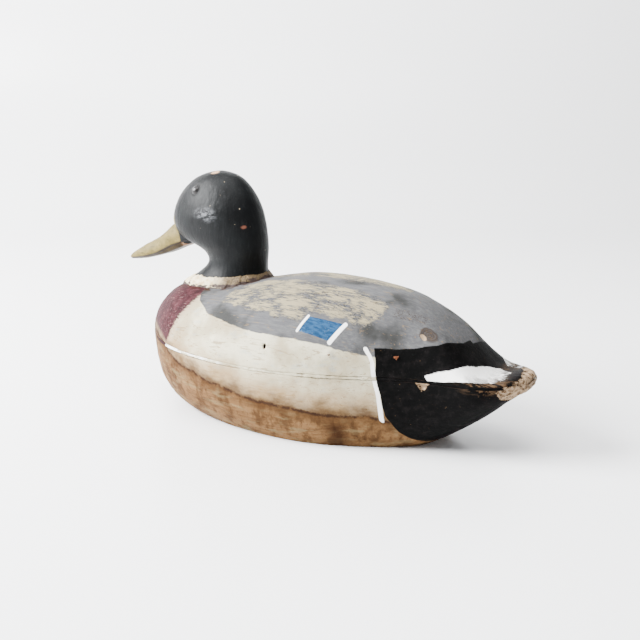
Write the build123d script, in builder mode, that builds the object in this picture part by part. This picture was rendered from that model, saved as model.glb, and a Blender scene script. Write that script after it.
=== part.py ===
"""Hollow two-plank wooden mallard decoy with a set-in head, glass eyes, inlet ballast and a line ring.

Frame, in millimetres: origin on the flat bottom under the middle of the body, +X towards the bill, +Y to
the bird's left, +Z up. The body is a closed hull shaped by upright stations, sawn in two at the glue seam
and hollowed. The head stands in a seat cut in the upper plank, on a lag screw and two toe nails.
"""

import os
from math import cos, radians, sin

from build123d import *

# ---- Hull, from the tail tip to the breast -------------------------------------------------------
SEAM_Z = 60.0  # height of the glue seam and of the widest beam
SHOULDER = 2.3  # roundness of a section above the seam: 2 is an ellipse, more is squarer
BILGE = 2.65  # roundness of a section below the seam
# x along the body, half width at the seam, height of the back, height of the keel before planing flat
STATIONS = [
    (-185.0, 9.0, 65.0, 55.5),
    (-183.0, 15.0, 66.5, 53.5),
    (-178.0, 22.5, 67.0, 50.5),
    (-160.0, 37.0, 63.5, 36.0),
    (-130.0, 41.0, 89.0, 12.5),
    (-90.0, 51.5, 113.0, -9.0),
    (-40.0, 73.0, 120.8, -22.0),
    (20.0, 83.5, 121.0, -19.5),
    (76.0, 77.5, 112.0, -13.0),
    (122.0, 60.5, 110.0, -3.0),
    (154.0, 35.0, 95.0, 14.0),
    (171.0, 17.0, 76.0, 31.0),
    (178.0, 7.5, 64.0, 44.5),
]
BREAST_TIP = (180.5, 0.0, 55.0)

# ---- Hollow, seam and fixings --------------------------------------------------------------------
WALL = 17.0
ROOF = 19.0
FLOOR = 18.0
HOLLOW_FROM_X, HOLLOW_TO_X = -90.0, 122.0
CAULK_DEPTH, CAULK_HEIGHT = 3.0, 1.6
BEYOND_HULL = (400.0, 200.0)  # length and width of a slab that reaches past the whole hull
DOWEL_R, DOWEL_LENGTH = 4.0, 32.0
DOWEL_PLACES = [(-128.0, 0.0), (-24.0, 67.0), (-24.0, -67.0), (148.0, 0.0)]
NAIL_R, NAIL_HEAD_R, NAIL_HEAD_H = 1.1, 2.0, 1.0
SEAM_NAIL_XS = (-95.0, -48.0, 2.5, 52.0, 100.0)
SEAM_NAIL_Z = 78.0
SEAM_NAIL_LENGTH = 40.0
SEAM_NAIL_SET = 0.4  # how deep the heads are driven below the flank
SEAM_NAIL_LEAN = 12.0

# ---- Neck seat, head and bill --------------------------------------------------------------------
SEAT_X, SEAT_Z, SEAT_TILT = 95.0, 104.5, 4.0  # the seat falls 4 degrees towards the breast
SEAT_GAP = 0.2
# height, back of the section, its front, where it is widest, half width there
HEAD_SECTIONS = [
    (100.0, 56.5, 141.0, 93.0, 32.0),
    (106.0, 57.5, 135.5, 92.0, 30.5),
    (113.0, 58.5, 128.0, 89.5, 28.5),
    (120.0, 58.8, 118.5, 87.0, 26.0),
    (129.0, 58.3, 112.0, 85.0, 24.3),
    (136.0, 57.6, 116.5, 86.0, 25.0),
    (141.0, 57.5, 127.0, 89.0, 26.3),
    (146.0, 57.7, 140.5, 93.0, 27.4),
    (153.0, 58.4, 150.5, 97.0, 28.2),
    (163.0, 60.3, 153.0, 99.0, 28.5),
    (173.0, 63.2, 150.5, 100.0, 27.0),
    (183.0, 67.4, 145.0, 101.0, 23.8),
    (192.0, 73.4, 136.8, 101.5, 19.3),
    (199.0, 80.7, 126.3, 101.0, 14.0),
    (203.3, 88.5, 115.0, 100.5, 8.0),
]
CROWN = (101.0, 0.0, 205.8)
# x along the bill, ridge height, height of the mandible edge, keel height, half width
BILL_SECTIONS = [
    (130.0, 160.0, 145.0, 141.0, 12.5),
    (152.0, 158.0, 138.0, 132.5, 12.5),
    (162.0, 150.5, 133.0, 128.6, 12.0),
    (174.0, 142.5, 127.6, 125.0, 11.7),
    (188.0, 135.5, 124.2, 121.8, 11.7),
    (200.0, 129.0, 122.0, 120.0, 10.4),
    (207.5, 124.6, 120.9, 119.2, 7.0),
    (210.8, 122.2, 120.4, 119.0, 3.2),
]
BILL_DOME = (0.62, 0.74)  # where the dome of the bill passes, over its half width and its height
LOWER_MANDIBLE = 0.7  # width of the lower mandible over that of the upper
NOSTRIL = (164.5, 7.0, 145.7)  # middle of the left nostril
NOSTRIL_SLOPE, NOSTRIL_SPLAY = 32.0, 42.0  # its fall towards the tip, and how far it faces out
NOSTRIL_LENGTH, NOSTRIL_WIDTH, NOSTRIL_DEPTH = 7.5, 1.7, 1.8
PUTTY_TOP_Z = 115.5  # height of the putty ring's rim over the seat's middle
PUTTY_WIDTHS = (6.0, 5.0, 3.4, 0.8)  # thickness of the ring at each of the four lowest head sections

NECK_SCREW_X = 88.0
NECK_SCREW_R, NECK_SCREW_TOP_Z = 3.2, 152.0
SPOT_FACE_R, SPOT_FACE_Z = 11.0, 94.5
HEX_R, HEX_H = 6.4, 4.2
WASHER_R, WASHER_H, WASHER_EDGE_R = 10.0, 1.6, 0.4
SCREW_POINT = 0.6  # chamfer of the lag screw's point, over its radius
TOE_NAIL_X = NECK_SCREW_X + 2.0
TOE_NAIL_Z, TOE_NAIL_Y, TOE_NAIL_LENGTH, TOE_NAIL_LEAN = 112.0, 28.3, 21.0, 32.0

# ---- Eyes ----------------------------------------------------------------------------------------
EYE_X, EYE_Y, EYE_Z = 116.0, 18.9, 189.0  # middle of the left eye's rim
EYE_FORWARD, EYE_LIFT = 13.0, 26.0  # how far the eyes face forward and up, in degrees
EYE_R, EYE_BULGE, EYE_BACK = 4.2, 2.4, 2.0
SOCKET_GAP = 0.3
EYE_WIRE_R, EYE_WIRE_LENGTH = 0.6, 10.0

# ---- Ballast -------------------------------------------------------------------------------------
BALLAST_X = -14.0
BALLAST_SIZE = (104.0, 34.0, 8.0)
BALLAST_REVEAL = 0.6  # how far the weight stands back from the flat bottom
BALLAST_CORNER_R, BALLAST_EDGE = 5.0, 0.8
BALLAST_SCREW_XS = (BALLAST_X - 38.0, BALLAST_X + 38.0)
SCREW_HEAD_R, SCREW_R, SCREW_LENGTH = 3.8, 2.0, 14.5
SCREW_SLOT = (2 * SCREW_HEAD_R, 1.0, 0.9)

# ---- Line ring, folded in a recess of the bottom -------------------------------------------------
HINGE_X, HINGE_Z = 103.0, 4.0
RING_R, RING_WIRE_R = 7.5, 1.1
STAPLE_WIRE_R, STAPLE_PLAY = 1.0, 0.06
STAPLE_TOP_Z = 15.0
RECESS_DEPTH, RECESS_MARGIN = 7.0, 3.5


def section_points(half_width, top, bottom):
    """Half of a hull section, from the back's centreline round the beam to the keel."""
    over = [
        (
            half_width * cos(radians(a)) ** (2 / SHOULDER),
            SEAM_Z + (top - SEAM_Z) * sin(radians(a)) ** (2 / SHOULDER),
        )
        for a in (75, 60, 45, 30, 15)
    ]
    under = [
        (
            half_width * cos(radians(a)) ** (2 / BILGE),
            SEAM_Z - (SEAM_Z - bottom) * sin(radians(a)) ** (2 / BILGE),
        )
        for a in (15, 30, 45, 60, 75)
    ]
    return [(0, top), *over, (half_width, SEAM_Z), *under, (0, bottom)]


def hull_section(x, half_width, top, bottom):
    """One upright hull section as a face in the plane across the body at x."""
    with BuildSketch(Plane((x, 0, 0), x_dir=(0, 1, 0), z_dir=(1, 0, 0))) as section:
        with BuildLine():
            Spline(*section_points(half_width, top, bottom), tangents=[(1, 0), (-1, 0)])
            mirror(about=Plane.YZ)
        make_face()
    return section.sketch


def egg(z, back, front, widest, half_width, grow=0.0):
    """One level section of the head as a face: half an ellipse behind its widest place and half before."""
    with BuildSketch(Plane.XY.offset(z)) as section:
        with BuildLine():
            middle = (widest, 0)
            rear, fore, side = widest - back + grow, front - widest + grow, half_width + grow
            EllipticalCenterArc(middle, fore, side, start_angle=0, arc_size=90)
            EllipticalCenterArc(middle, rear, side, start_angle=90, arc_size=90)
            mirror(about=Plane.XZ)
        make_face()
    return section.sketch


def bill_section(x, ridge, edge, keel, half_width):
    """One upright section of the bill: a domed upper mandible over a narrower flat-bottomed lower one."""
    with BuildSketch(Plane((x, 0, 0), x_dir=(0, 1, 0), z_dir=(1, 0, 0))) as section:
        with BuildLine():
            Spline(
                (0, ridge),
                (half_width * BILL_DOME[0], edge + (ridge - edge) * BILL_DOME[1]),
                (half_width, edge),
                tangents=[(1, 0), (0.1, -1)],
            )
            Polyline((half_width, edge), (half_width * LOWER_MANDIBLE, keel), (0, keel))
            mirror(about=Plane.YZ)
        make_face()
    return section.sketch


def between_stations(x, column):
    """A column of STATIONS read between its neighbours at x."""
    for before, after in zip(STATIONS, STATIONS[1:]):
        if before[0] <= x <= after[0]:
            share = (x - before[0]) / (after[0] - before[0])
            return before[column] + share * (after[column] - before[column])
    raise ValueError(x)


def flank_y(x, z):
    """Half width of the upper plank at x and at height z."""
    rise = (z - SEAM_Z) / (between_stations(x, 2) - SEAM_Z)
    return between_stations(x, 1) * (1 - rise**SHOULDER) ** (1 / SHOULDER)


def nail(head_plane, length):
    """A nail whose head's outer face lies on head_plane, driven along the plane's normal."""
    with BuildPart(head_plane) as driven:
        Cylinder(NAIL_HEAD_R, NAIL_HEAD_H, align=(Align.CENTER, Align.CENTER, Align.MIN))
        Cylinder(NAIL_R, length, align=(Align.CENTER, Align.CENTER, Align.MIN))
    return driven.part


def eye_plane(side):
    """The plane of an eye's rim: its normal looks out of the head. side is 1 for left, -1 for right."""
    level = cos(radians(EYE_LIFT))
    out = (
        level * sin(radians(EYE_FORWARD)),
        side * level * cos(radians(EYE_FORWARD)),
        sin(radians(EYE_LIFT)),
    )
    return Plane((EYE_X, side * EYE_Y, EYE_Z), z_dir=out)


SEAT = Plane(
    (SEAT_X, 0, SEAT_Z), z_dir=(sin(radians(SEAT_TILT)), 0, cos(radians(SEAT_TILT)))
)
LEVEL_BASE = (Align.CENTER, Align.CENTER, Align.MIN)

# ---- Shapes that several parts share -------------------------------------------------------------
with BuildPart() as hull:
    loft(sections=[*[hull_section(*s) for s in STATIONS], Vertex(*BREAST_TIP)])
    split(bisect_by=Plane.XY, keep=Keep.TOP)

with BuildPart() as cavity:
    loft(
        sections=[
            hull_section(x, half_width - WALL, top - ROOF, max(keel, 0) + FLOOR)
            for x, half_width, top, keel in STATIONS
            if HOLLOW_FROM_X <= x <= HOLLOW_TO_X
        ]
    )

with BuildPart() as neck_socket:
    loft(sections=[*[egg(*s, grow=SEAT_GAP) for s in HEAD_SECTIONS], Vertex(*CROWN)])
    split(bisect_by=SEAT, keep=Keep.TOP)

with BuildPart() as neck_screw:
    with Locations((NECK_SCREW_X, 0, SPOT_FACE_Z - WASHER_H - HEX_H)):
        Cylinder(NECK_SCREW_R, NECK_SCREW_TOP_Z - SPOT_FACE_Z + WASHER_H + HEX_H, align=LEVEL_BASE)
    with BuildSketch(Plane.XY.offset(SPOT_FACE_Z - WASHER_H - HEX_H)):
        with Locations((NECK_SCREW_X, 0)):
            RegularPolygon(HEX_R, 6)
    extrude(amount=HEX_H)
    chamfer(neck_screw.faces().sort_by(Axis.Z)[-1].edges(), length=NECK_SCREW_R * SCREW_POINT)
neck_screw.part.label = "neck_screw"

with BuildPart() as seam_dowels:
    with Locations(*[(x, y, SEAM_Z) for x, y in DOWEL_PLACES]):
        Cylinder(DOWEL_R, DOWEL_LENGTH)
seam_dowels.part.label = "seam_dowels"



def nails_on_both_sides(x, foot_y, foot_z, lean, length):
    """A nail on each side of the body at x, its head on the flank, leaning in towards the middle plane."""
    across, down = sin(radians(lean)), cos(radians(lean))
    return [
        nail(Plane((x, side * foot_y, foot_z), z_dir=(0, -side * across, -down)), length)
        for side in (1, -1)
    ]


driven_seam_nails = []
for x in SEAM_NAIL_XS:
    foot_y = flank_y(x, SEAM_NAIL_Z) - SEAM_NAIL_SET
    driven_seam_nails += nails_on_both_sides(x, foot_y, SEAM_NAIL_Z, SEAM_NAIL_LEAN, SEAM_NAIL_LENGTH)

with BuildPart() as seam_nails:
    add(driven_seam_nails)
seam_nails.part.label = "seam_nails"

driven_toe_nails = nails_on_both_sides(TOE_NAIL_X, TOE_NAIL_Y, TOE_NAIL_Z, TOE_NAIL_LEAN, TOE_NAIL_LENGTH)

with BuildPart() as toe_nails:
    add(driven_toe_nails)
toe_nails.part.label = "toe_nails"

# ---- Eyes ----------------------------------------------------------------------------------------
def glass_eye(side):
    """A flat-backed glass dome standing in its socket."""
    dome_r = (EYE_R**2 + EYE_BULGE**2) / (2 * EYE_BULGE)
    with BuildPart(eye_plane(side)) as eye:
        with Locations((0, 0, EYE_BULGE - dome_r)):
            Sphere(dome_r)
        with Locations((0, 0, -EYE_BACK)):
            Cylinder(EYE_R, EYE_BACK + EYE_BULGE, align=LEVEL_BASE, mode=Mode.INTERSECT)
    return eye.part


def eye_wire(side):
    """The wire stem moulded into the back of an eye and pushed into the head."""
    with BuildPart(eye_plane(side)) as wire:
        with Locations((0, 0, -EYE_BACK - EYE_WIRE_LENGTH)):
            Cylinder(EYE_WIRE_R, EYE_WIRE_LENGTH, align=LEVEL_BASE)
    return wire.part


def eye_socket(side):
    """The hole cut in the head for one eye."""
    with BuildPart(eye_plane(side)) as socket:
        with Locations((0, 0, -EYE_BACK)):
            Cylinder(EYE_R + SOCKET_GAP, EYE_BACK + 2 * EYE_R, align=LEVEL_BASE)
    return socket.part


glass_eyes = [glass_eye(side) for side in (1, -1)]
eye_wires = [eye_wire(side) for side in (1, -1)]
eye_sockets = [eye_socket(side) for side in (1, -1)]

with BuildPart() as left_eye:
    add(glass_eyes[0])
left_eye.part.label = "left_eye"

with BuildPart() as right_eye:
    add(glass_eyes[1])
right_eye.part.label = "right_eye"

with BuildPart() as left_eye_wire:
    add(eye_wires[0])
left_eye_wire.part.label = "left_eye_wire"

with BuildPart() as right_eye_wire:
    add(eye_wires[1])
right_eye_wire.part.label = "right_eye_wire"

# ---- Seam caulk: a bead let into the edge of both planks -----------------------------------------
with BuildPart() as caulk_core:
    with BuildSketch(Plane.XY.offset(SEAM_Z - CAULK_HEIGHT)):
        with BuildLine():
            rim = [(x, half_width - CAULK_DEPTH) for x, half_width, _, _ in STATIONS[1:-1]]
            tail_corner = (STATIONS[0][0] + CAULK_DEPTH, STATIONS[0][1] - CAULK_DEPTH)
            breast_corner = (BREAST_TIP[0] - CAULK_DEPTH, 0)
            Line((tail_corner[0], 0), tail_corner)
            Polyline(tail_corner, *rim, breast_corner)
            mirror(about=Plane.XZ)
        make_face()
    extrude(amount=2 * CAULK_HEIGHT)

with BuildPart() as seam_caulk:
    add(hull.part)
    with Locations((0, 0, SEAM_Z)):
        Box(*BEYOND_HULL, CAULK_HEIGHT, mode=Mode.INTERSECT)
    add(caulk_core.part, mode=Mode.SUBTRACT)
seam_caulk.part.label = "seam_caulk"

# ---- Head with the bill, one carving -------------------------------------------------------------
with BuildPart() as head:
    loft(sections=[*[egg(*s) for s in HEAD_SECTIONS], Vertex(*CROWN)])
    split(bisect_by=SEAT, keep=Keep.TOP)
    loft(sections=[bill_section(*s) for s in BILL_SECTIONS])
    for side in (1, -1):
        slope, splay = radians(NOSTRIL_SLOPE), radians(NOSTRIL_SPLAY)
        inwards = (0, -side * cos(splay), -sin(splay))
        along = (cos(slope), 0, -sin(slope))
        mouth = Plane((NOSTRIL[0], side * NOSTRIL[1], NOSTRIL[2]), x_dir=along, z_dir=inwards)
        with BuildSketch(mouth.offset(-NOSTRIL_LENGTH)):
            SlotOverall(NOSTRIL_LENGTH, NOSTRIL_WIDTH)
        extrude(amount=NOSTRIL_LENGTH + NOSTRIL_DEPTH, mode=Mode.SUBTRACT)
    add([*eye_sockets, *eye_wires], mode=Mode.SUBTRACT)
    add([neck_screw.part, toe_nails.part], mode=Mode.SUBTRACT)
head.part.label = "head"

with BuildPart() as neck_putty:
    loft(sections=[egg(*s, grow=width) for s, width in zip(HEAD_SECTIONS, PUTTY_WIDTHS)])
    split(bisect_by=SEAT.offset(PUTTY_TOP_Z - SEAT_Z), keep=Keep.BOTTOM)
    add([hull.part, head.part, neck_screw.part, toe_nails.part], mode=Mode.SUBTRACT)
neck_putty.part.label = "neck_putty"

with BuildPart() as neck_washer:
    with Locations((NECK_SCREW_X, 0, SPOT_FACE_Z - WASHER_H)):
        Cylinder(WASHER_R, WASHER_H, align=LEVEL_BASE)
        Cylinder(NECK_SCREW_R, WASHER_H, align=LEVEL_BASE, mode=Mode.SUBTRACT)
    fillet(neck_washer.edges().filter_by(GeomType.CIRCLE).group_by(SortBy.RADIUS)[-1], radius=WASHER_EDGE_R)
neck_washer.part.label = "neck_washer"

# ---- Ballast and its screws ----------------------------------------------------------------------
with BuildPart() as ballast_screws:
    for x in BALLAST_SCREW_XS:
        with Locations((x, 0, BALLAST_REVEAL)):
            Cone(SCREW_HEAD_R, SCREW_R, SCREW_HEAD_R - SCREW_R, align=LEVEL_BASE)
            Cylinder(SCREW_R, SCREW_LENGTH, align=LEVEL_BASE)
            Box(*SCREW_SLOT, align=LEVEL_BASE, mode=Mode.SUBTRACT)
ballast_screws.part.label = "ballast_screws"

with BuildPart() as ballast_weight:
    with Locations((BALLAST_X, 0, BALLAST_REVEAL)):
        Box(*BALLAST_SIZE, align=LEVEL_BASE)
    fillet(ballast_weight.edges().filter_by(Axis.Z), radius=BALLAST_CORNER_R)
    chamfer(ballast_weight.faces().sort_by(Axis.Z)[0].edges(), length=BALLAST_EDGE)
    for x in BALLAST_SCREW_XS:
        with Locations((x, 0, BALLAST_REVEAL)):
            Cone(SCREW_HEAD_R, SCREW_R, SCREW_HEAD_R - SCREW_R, align=LEVEL_BASE, mode=Mode.SUBTRACT)
            Cylinder(SCREW_R, SCREW_LENGTH, align=LEVEL_BASE, mode=Mode.SUBTRACT)
ballast_weight.part.label = "ballast_weight"

with BuildPart() as ballast_recess:
    with Locations((BALLAST_X, 0, 0)):
        Box(BALLAST_SIZE[0], BALLAST_SIZE[1], BALLAST_SIZE[2] + BALLAST_REVEAL, align=LEVEL_BASE)
    fillet(ballast_recess.edges().filter_by(Axis.Z), radius=BALLAST_CORNER_R)

# ---- Line ring and its staple --------------------------------------------------------------------
with BuildPart() as line_ring:
    with Locations((HINGE_X - RING_R, 0, HINGE_Z)):
        Torus(RING_R, RING_WIRE_R)
line_ring.part.label = "line_ring"

with BuildPart() as line_staple:
    leg = RING_WIRE_R + STAPLE_PLAY + STAPLE_WIRE_R
    with BuildLine():
        Line((HINGE_X - leg, 0, STAPLE_TOP_Z), (HINGE_X - leg, 0, HINGE_Z))
        ThreePointArc(
            (HINGE_X - leg, 0, HINGE_Z), (HINGE_X, 0, HINGE_Z - leg), (HINGE_X + leg, 0, HINGE_Z)
        )
        Line((HINGE_X + leg, 0, HINGE_Z), (HINGE_X + leg, 0, STAPLE_TOP_Z))
    with BuildSketch(Plane((HINGE_X - leg, 0, STAPLE_TOP_Z), z_dir=(0, 0, -1))):
        Circle(STAPLE_WIRE_R)
    sweep()
line_staple.part.label = "line_staple"

with BuildPart() as ring_recess:
    with BuildSketch():
        with Locations((HINGE_X - RING_R, 0)):
            Circle(RING_R + RING_WIRE_R + RECESS_MARGIN)
    extrude(amount=RECESS_DEPTH)

# ---- The two planks ------------------------------------------------------------------------------
with BuildPart() as upper_body:
    add(hull.part)
    split(bisect_by=Plane.XY.offset(SEAM_Z), keep=Keep.TOP)
    add([cavity.part, neck_socket.part, seam_caulk.part], mode=Mode.SUBTRACT)
    with Locations((NECK_SCREW_X, 0, SPOT_FACE_Z)):
        Cylinder(SPOT_FACE_R, SPOT_FACE_R, align=(Align.CENTER, Align.CENTER, Align.MAX), mode=Mode.SUBTRACT)
    add([neck_screw.part, toe_nails.part], mode=Mode.SUBTRACT)
    add([seam_dowels.part, seam_nails.part], mode=Mode.SUBTRACT)
upper_body.part.label = "upper_body"

with BuildPart() as lower_body:
    add(hull.part)
    split(bisect_by=Plane.XY.offset(SEAM_Z), keep=Keep.BOTTOM)
    add([cavity.part, seam_caulk.part], mode=Mode.SUBTRACT)
    add([seam_dowels.part, seam_nails.part], mode=Mode.SUBTRACT)
    add([ballast_recess.part, ballast_screws.part], mode=Mode.SUBTRACT)
    add([ring_recess.part, line_staple.part], mode=Mode.SUBTRACT)
lower_body.part.label = "lower_body"

# ---- Files ---------------------------------------------------------------------------------------
PIECES = [
    upper_body,
    lower_body,
    head,
    neck_putty,
    neck_screw,
    neck_washer,
    toe_nails,
    left_eye,
    right_eye,
    left_eye_wire,
    right_eye_wire,
    seam_caulk,
    seam_dowels,
    seam_nails,
    ballast_weight,
    ballast_screws,
    line_staple,
    line_ring,
]

os.makedirs("parts", exist_ok=True)
for piece in PIECES:
    export_step(piece.part, f"parts/{piece.part.label}.step")
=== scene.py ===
import math

import bmesh
import bpy
import numpy as np
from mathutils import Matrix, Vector


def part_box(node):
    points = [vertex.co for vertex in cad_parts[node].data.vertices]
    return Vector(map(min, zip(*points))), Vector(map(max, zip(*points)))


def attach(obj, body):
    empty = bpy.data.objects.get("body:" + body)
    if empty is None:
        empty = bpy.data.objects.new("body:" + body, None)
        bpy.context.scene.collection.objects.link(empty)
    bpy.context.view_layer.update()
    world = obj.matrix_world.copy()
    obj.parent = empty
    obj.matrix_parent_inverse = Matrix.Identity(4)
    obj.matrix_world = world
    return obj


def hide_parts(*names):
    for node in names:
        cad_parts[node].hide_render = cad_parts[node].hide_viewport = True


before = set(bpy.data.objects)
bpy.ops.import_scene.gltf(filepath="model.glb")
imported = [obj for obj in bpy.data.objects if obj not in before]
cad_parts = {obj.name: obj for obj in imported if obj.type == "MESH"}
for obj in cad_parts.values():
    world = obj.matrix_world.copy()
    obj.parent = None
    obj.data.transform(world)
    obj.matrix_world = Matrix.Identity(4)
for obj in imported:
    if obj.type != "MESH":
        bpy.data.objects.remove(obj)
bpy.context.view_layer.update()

MM = 0.001

# ==================================================================================================
# Numbers shared by the shapes, in millimetres, in the frame of the CAD
# ==================================================================================================
SEAM = 60.0
SHOULDER, BILGE = 2.3, 2.65
# x, half width at the seam, height of the back, height of the keel
STATIONS = np.array([
    (-185.0, 9.0, 65.0, 55.5), (-183.0, 15.0, 66.5, 53.5), (-178.0, 22.5, 67.0, 50.5),
    (-160.0, 37.0, 63.5, 36.0), (-130.0, 41.0, 89.0, 12.5), (-90.0, 51.5, 113.0, -9.0),
    (-40.0, 73.0, 120.8, -22.0), (20.0, 83.5, 121.0, -19.5), (76.0, 77.5, 112.0, -13.0),
    (122.0, 60.5, 110.0, -3.0), (154.0, 35.0, 95.0, 14.0), (171.0, 17.0, 76.0, 31.0),
    (178.0, 7.5, 64.0, 44.5), (180.5, 0.05, 55.3, 54.7),
])
# z, back, front, widest, half width
HEAD = np.array([
    (100.0, 56.5, 141.0, 93.0, 32.0), (106.0, 57.5, 135.5, 92.0, 30.5), (113.0, 58.5, 128.0, 89.5, 28.5),
    (120.0, 58.8, 118.5, 87.0, 26.0), (129.0, 58.3, 112.0, 85.0, 24.3), (136.0, 57.6, 116.5, 86.0, 25.0),
    (141.0, 57.5, 127.0, 89.0, 26.3), (146.0, 57.7, 140.5, 93.0, 27.4), (153.0, 58.4, 150.5, 97.0, 28.2),
    (163.0, 60.3, 153.0, 99.0, 28.5), (173.0, 63.2, 150.5, 100.0, 27.0), (183.0, 67.4, 145.0, 101.0, 23.8),
    (192.0, 73.4, 136.8, 101.5, 19.3), (199.0, 80.7, 126.3, 101.0, 14.0), (203.3, 88.5, 115.0, 100.5, 8.0),
    (205.8, 100.9, 101.1, 101.0, 0.1),
])
# x, ridge, edge, keel, half width
BILL = np.array([
    (130.0, 160.0, 145.0, 141.0, 12.5), (152.0, 158.0, 138.0, 132.5, 12.5),
    (162.0, 150.5, 133.0, 128.6, 12.0), (174.0, 142.5, 127.6, 125.0, 11.7),
    (188.0, 135.5, 124.2, 121.8, 11.7), (200.0, 129.0, 122.0, 120.0, 10.4),
    (207.5, 124.6, 120.9, 119.2, 7.0), (210.8, 122.2, 120.4, 119.0, 3.2),
])
EYE = np.array([116.0, 18.9, 189.0])
NOSTRIL = np.array([164.5, 7.0, 145.7])


# ==================================================================================================
# Curves, noise and distances
# ==================================================================================================
def natural_spline(t, y, q):
    """A natural cubic through the rows of y at t, read at q."""
    n = len(t)
    h = np.diff(t)
    a = np.eye(n)
    b = np.zeros_like(y)
    for i in range(1, n - 1):
        a[i, i - 1], a[i, i], a[i, i + 1] = h[i - 1], 2 * (h[i - 1] + h[i]), h[i]
        b[i] = 6 * ((y[i + 1] - y[i]) / h[i] - (y[i] - y[i - 1]) / h[i - 1])
    m = np.linalg.solve(a, b)
    i = np.clip(np.searchsorted(t, q) - 1, 0, n - 2)
    d, e, hh = (q - t[i])[:, None], (t[i + 1] - q)[:, None], h[i][:, None]
    return (m[i] * e**3 / (6 * hh) + m[i + 1] * d**3 / (6 * hh)
            + (y[i] / hh - m[i] * hh / 6) * e + (y[i + 1] / hh - m[i + 1] * hh / 6) * d)


def lofted(table, count):
    """count rows of a table of sections, spaced evenly along its length."""
    step = np.sqrt((np.diff(table, axis=0) ** 2 * np.r_[1, np.full(table.shape[1] - 1, 0.5)]).sum(1))
    t = np.r_[0, np.cumsum(step)]
    return natural_spline(t, table, np.linspace(0, t[-1], count))


def noise3(p, scale, seed=0):
    """Smooth noise in -1..1 at points p; scale is the size of its lumps, one number or one for each axis."""
    q = p / np.asarray(scale, dtype=float) + seed * 17.31
    i = np.floor(q).astype(np.int64)
    f = q - i
    f = f * f * (3 - 2 * f)
    total = np.zeros(len(p))
    for corner in range(8):
        o = np.array([corner & 1, corner >> 1 & 1, corner >> 2 & 1])
        c = i + o
        k = (c[:, 0] * 73856093) ^ (c[:, 1] * 19349663) ^ (c[:, 2] * 83492791)
        k = (k ^ (k >> 13)) * 1274126177
        v = ((k ^ (k >> 16)) & 0xFFFF) / 32767.5 - 1
        w = np.prod(np.where(o == 1, f, 1 - f), axis=1)
        total += v * w
    return total


def to_line(a, b, points):
    """Distance of the points (a, b) from an open polyline."""
    best = np.full(len(a), 1e9)
    for (x0, y0), (x1, y1) in zip(points, points[1:]):
        dx, dy = x1 - x0, y1 - y0
        t = np.clip(((a - x0) * dx + (b - y0) * dy) / (dx * dx + dy * dy), 0, 1)
        best = np.minimum(best, np.hypot(a - x0 - t * dx, b - y0 - t * dy))
    return best


def to_shape(a, b, points):
    """Signed distance of the points (a, b) from a closed outline, positive inside."""
    inside = np.zeros(len(a), dtype=bool)
    ring = list(points) + [points[0]]
    for (x0, y0), (x1, y1) in zip(ring, ring[1:]):
        if y0 != y1:
            cross = (y0 > b) != (y1 > b)
            inside ^= cross & (a < (x1 - x0) * (b - y0) / (y1 - y0) + x0)
    return np.where(inside, 1, -1) * to_line(a, b, ring)


def step(v, low, high):
    t = np.clip((v - low) / (high - low), 0, 1)
    return t * t * (3 - 2 * t)


# ==================================================================================================
# The hull
# ==================================================================================================
HULL = lofted(STATIONS, 460)
ANGLES = np.linspace(math.pi / 2, -math.pi / 2, 721)


def hull_ring(row):
    _, w, top, keel = row
    c, s = np.abs(np.cos(ANGLES)), np.sin(ANGLES)
    power = np.where(s >= 0, 2 / SHOULDER, 2 / BILGE)
    y = w * c**power
    z = np.where(s >= 0, SEAM + (top - SEAM) * np.abs(s) ** power, SEAM - (SEAM - keel) * np.abs(s) ** power)
    return y, z


RINGS = [hull_ring(row) for row in HULL]
GIRTH = np.array([np.r_[0, np.cumsum(np.hypot(np.diff(y), np.diff(z)))] for y, z in RINGS])


def girth_at(p):
    """Distance over the surface from the middle of the back to each point, at its own x."""
    row = np.interp(p[:, 0], HULL[:, 0], np.arange(len(HULL)))
    w = np.interp(p[:, 0], HULL[:, 0], HULL[:, 1])
    top = np.interp(p[:, 0], HULL[:, 0], HULL[:, 2])
    keel = np.interp(p[:, 0], HULL[:, 0], HULL[:, 3])
    up = p[:, 2] >= SEAM
    rise = np.where(up, (p[:, 2] - SEAM) / (top - SEAM), (SEAM - p[:, 2]) / (SEAM - keel))
    half = np.where(up, SHOULDER / 2, BILGE / 2)
    angle = np.arctan2(np.clip(rise, 0, 2) ** half, np.clip(np.abs(p[:, 1]) / w, 1e-6, 2) ** half)
    angle = np.where(up, angle, -angle)
    column = (math.pi / 2 - angle) / math.pi * (len(ANGLES) - 1)
    return GIRTH[np.clip(np.rint(row).astype(int), 0, len(HULL) - 1),
                 np.clip(np.rint(column).astype(int), 0, len(ANGLES) - 1)]


def back_height(x, y):
    w = np.interp(x, HULL[:, 0], HULL[:, 1])
    top = np.interp(x, HULL[:, 0], HULL[:, 2])
    return SEAM + (top - SEAM) * (1 - np.clip(np.abs(y) / w, 0, 1) ** SHOULDER) ** (1 / SHOULDER)


def half_girth(row_index, start_z, upper, count):
    """Points of one half ring from the lip at the seam to the middle plane, closer together near the lip."""
    y, z = RINGS[row_index]
    keep = z >= start_z if upper else z <= start_z
    y, z = y[keep], z[keep]
    if upper:
        y, z = y[::-1], z[::-1]
    z = np.maximum(z, 0.0)
    if not len(y):
        y, z = np.array([0.05, 0.0]), np.array([start_z, start_z])
    along = np.r_[0, np.cumsum(np.hypot(np.diff(y), np.diff(z)))]
    u = np.linspace(0, 1, count) ** 1.25 * along[-1]
    return np.interp(u, along, y), np.interp(u, along, z)


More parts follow.
